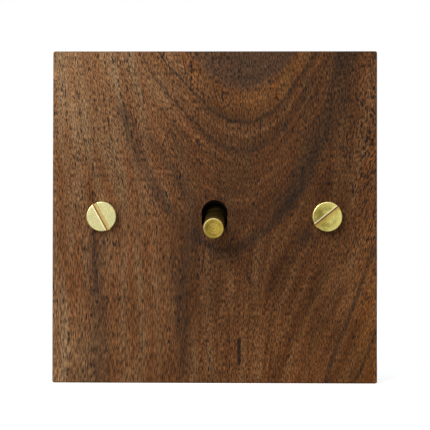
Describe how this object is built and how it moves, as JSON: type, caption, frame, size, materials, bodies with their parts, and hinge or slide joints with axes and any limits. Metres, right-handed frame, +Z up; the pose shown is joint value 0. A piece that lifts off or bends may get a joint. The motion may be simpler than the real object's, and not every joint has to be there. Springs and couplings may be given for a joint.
{
  "type": "toggle light switch",
  "caption": "Toggle light switch: a turned brass lever in a square walnut plate held by slotted brass screws, with a rocking-contact mechanism, terminals and strap behind it.",
  "frame": {"origin": "centre of the plate's back face, on the wall's surface, midway between the fixing screws", "axes": "+X to the right as seen from the room, +Y into the wall, +Z up"},
  "size_m": [0.087, 0.0473, 0.089],
  "materials": {
    "walnut": "satin oiled",
    "screw_brass": "polished, turned",
    "lever_brass": "turned",
    "mechanism_brass": "pressed and machined",
    "blackened_brass": "chemically blackened",
    "zinc_steel": "zinc plated",
    "hardened_steel": "ground",
    "spring_steel": "drawn wire",
    "black_moulding": "moulded",
    "fibre": "pressed board",
    "ivory_moulding": "moulded",
    "silver": "satin"
  },
  "bodies": {
    "switch_body": {"wall_plate": "walnut", "fixing_screw_left": "screw_brass", "fixing_screw_right": "screw_brass", "mounting_strap": "zinc_steel", "bushing": "blackened_brass", "pivot_pin": "hardened_steel", "bushing_nut": "blackened_brass", "switch_frame": "zinc_steel", "insulation_card": "fibre", "case_body": "black_moulding", "terminal_base": "black_moulding", "terminal_upper": "mechanism_brass", "terminal_common": "mechanism_brass", "terminal_lower": "mechanism_brass", "terminal_screws": "zinc_steel", "earth_terminal": "mechanism_brass", "earth_screw": "zinc_steel", "fulcrum_bracket": "mechanism_brass", "fulcrum_pin": "hardened_steel", "fixed_contact_upper": "silver", "fixed_contact_lower": "silver", "contact_strip_upper": "mechanism_brass", "contact_strip_lower": "mechanism_brass"},
    "lever": {"toggle_lever": "lever_brass", "plunger_spring": "spring_steel"},
    "plunger": {"plunger": "ivory_moulding"},
    "rocker": {"rocker_contact": "mechanism_brass", "moving_contact_upper": "silver", "moving_contact_lower": "silver"}
  },
  "joints": [
    {"name": "lever_tilt", "type": "hinge", "parent": "switch_body", "child": "lever", "pos_m": [0, -0.0008, 0], "axis": [-1, 0, 0], "range_deg": [0, 20]},
    {"name": "plunger_slide", "type": "slide", "parent": "lever", "child": "plunger", "axis": [0, -0.9848, -0.1736], "range_m": [0, 0.001], "stiffness_N_per_m": 900, "springref_m": -0.001, "deforming": ["plunger_spring"]},
    {"name": "rocker_tilt", "type": "hinge", "parent": "switch_body", "child": "rocker", "pos_m": [0, 0.0128, 0], "axis": [1, 0, 0], "range_deg": [0, 16]}
  ],
  "couplings": [
    {"joint": "rocker_tilt", "follows": "lever_tilt", "ratio": 0.8}
  ]
}
